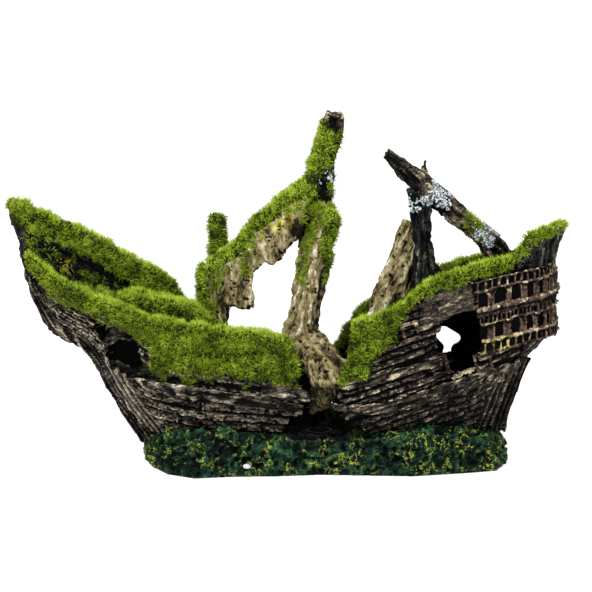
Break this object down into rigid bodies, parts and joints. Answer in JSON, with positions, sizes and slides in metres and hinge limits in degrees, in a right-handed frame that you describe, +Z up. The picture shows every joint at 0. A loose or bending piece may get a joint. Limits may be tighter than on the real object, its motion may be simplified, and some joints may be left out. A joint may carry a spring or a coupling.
{
  "type": "aquarium bubbling ornament",
  "caption": "Broken sailing ship wreck on a reef base, for an aquarium, with a hidden air inlet and a lift-out air stone that bubbles under the open middle of the wreck.",
  "frame": {"origin": "middle of the base's underside, which rests on the aquarium floor", "axes": "+X along the wreck from bow to stern, +Y from the viewing side to the back, +Z up"},
  "size_m": [0.3483, 0.1115, 0.2222],
  "materials": {
    "hull_resin": "cast polyresin, carved as weathered planks, dry-brushed",
    "dark_timber_resin": "cast polyresin, carved as dark rotten timber",
    "sail_resin": "cast polyresin, khaki rags of sail with white highlights",
    "reef_resin": "cast polyresin rubble, dark green with yellow flecks",
    "moss_flock": "long nylon flock, bright green",
    "lichen_crust": "pale crumbled crust",
    "clear_plastic": "smooth moulded",
    "dark_plastic": "moulded",
    "black_rubber": "matt",
    "silicone": "translucent",
    "bubble_stone": "sintered grit"
  },
  "bodies": {
    "ornament": {"reef_base": "reef_resin", "reef_heap_bow": "reef_resin", "reef_heap_middle": "reef_resin", "reef_heap_stern": "reef_resin", "inlet_nipple": "clear_plastic", "inlet_grommet": "black_rubber", "airline_tube": "silicone", "elbow_fitting": "clear_plastic", "stone_cup": "dark_plastic", "bow_hull_near": "hull_resin", "bow_hull_far": "hull_resin", "bow_stem_post": "dark_timber_resin", "prow_timber": "dark_timber_resin", "bow_deck": "dark_timber_resin", "bow_wale_near": "hull_resin", "bow_wale_far": "hull_resin", "bow_plank_end": "hull_resin", "bow_cave_lining": "dark_timber_resin", "fore_stump": "dark_timber_resin", "fore_spar": "dark_timber_resin", "fore_topmast": "dark_timber_resin", "fore_leg": "hull_resin", "left_sail": "sail_resin", "hanging_sail": "sail_resin", "main_sail": "sail_resin", "sail_root": "sail_resin", "aft_mast": "dark_timber_resin", "aft_yard": "dark_timber_resin", "aft_sail": "sail_resin", "stern_hull_near": "hull_resin", "stern_hull_far": "hull_resin", "stern_transom": "hull_resin", "stern_post": "dark_timber_resin", "stern_deck": "dark_timber_resin", "stern_wale_upper": "hull_resin", "stern_wale_lower": "hull_resin", "stern_wale_far": "hull_resin", "gallery_arcade": "hull_resin", "gallery_ledge": "hull_resin", "gallery_windows": "hull_resin", "gallery_balustrade": "hull_resin", "gallery_pilasters": "hull_resin", "gun_port_frames": "hull_resin", "taffrail": "hull_resin", "moss_bow_near_rail": "moss_flock", "moss_bow_far_rail": "moss_flock", "moss_bow_drape": "moss_flock", "moss_deck_ridge": "moss_flock", "moss_stump": "moss_flock", "moss_spar": "moss_flock", "moss_topmast": "moss_flock", "moss_main_sail": "moss_flock", "moss_waist": "moss_flock", "moss_stern_near_rail": "moss_flock", "moss_stern_far_rail": "moss_flock", "moss_taffrail": "moss_flock", "lichen_crutch": "lichen_crust", "lichen_yard": "lichen_crust"},
    "air_stone_unit": {"air_stone": "bubble_stone", "air_stone_stem": "clear_plastic"}
  },
  "joints": [
    {"name": "air_stone_lift", "type": "slide", "parent": "ornament", "child": "air_stone_unit", "axis": [0, 0, 1], "range_m": [0, 0.025]}
  ]
}
